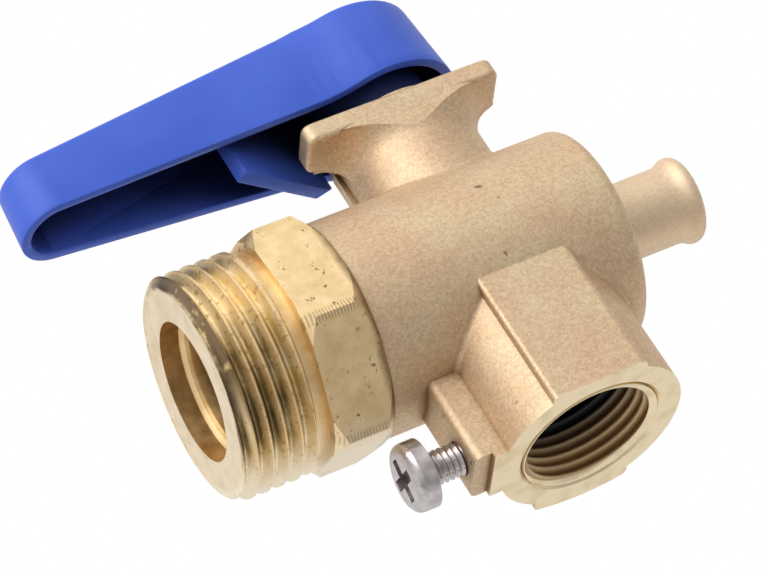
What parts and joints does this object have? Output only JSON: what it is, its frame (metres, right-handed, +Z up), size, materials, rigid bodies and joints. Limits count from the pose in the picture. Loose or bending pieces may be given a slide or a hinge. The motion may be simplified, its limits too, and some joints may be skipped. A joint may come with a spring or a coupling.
{
  "type": "three-way lever tap",
  "caption": "Three-way brass ball tap with a hollow blue lever, hexagon male inlet, female softener port with a lock screw, and a beaded drain nozzle.",
  "frame": {"origin": "on the softener port's axis where its thread starts, 0.6 mm inside the mouth", "axes": "+X along the barrel from the male inlet to the drain nozzle, +Y from the softener port to the lever along the stem, +Z up, towards the lever stop bar"},
  "size_m": [0.073, 0.0601, 0.028],
  "materials": {
    "blasted_brass": "blasted",
    "machined_brass": "machined",
    "blue_plastic": "satin",
    "steel": "zinc plated",
    "chrome": "polished",
    "white_ptfe": "matte",
    "rubber": "matte"
  },
  "bodies": {
    "tap": {"body_casting": "blasted_brass", "end_connector": "machined_brass", "connector_oring": "rubber", "seat_ring_inlet": "white_ptfe", "seat_ring_outlet": "white_ptfe"},
    "lever": {"handle": "blue_plastic", "handle_screw": "steel", "handle_washer": "steel", "stem": "machined_brass", "stem_thrust_washer": "white_ptfe", "stem_oring_lower": "rubber", "stem_oring_upper": "rubber", "ball": "chrome"},
    "lock_screw": {"lock_screw": "steel"}
  },
  "joints": [
    {"name": "lever_turn", "type": "hinge", "parent": "tap", "child": "lever", "pos_m": [0, 0.0473, 0], "axis": [0, -1, 0], "range_deg": [-12, 163]},
    {"name": "lock_screw_drive", "type": "slide", "parent": "tap", "child": "lock_screw", "axis": [1, 0, 0], "range_m": [-0.002, 0.003]}
  ]
}
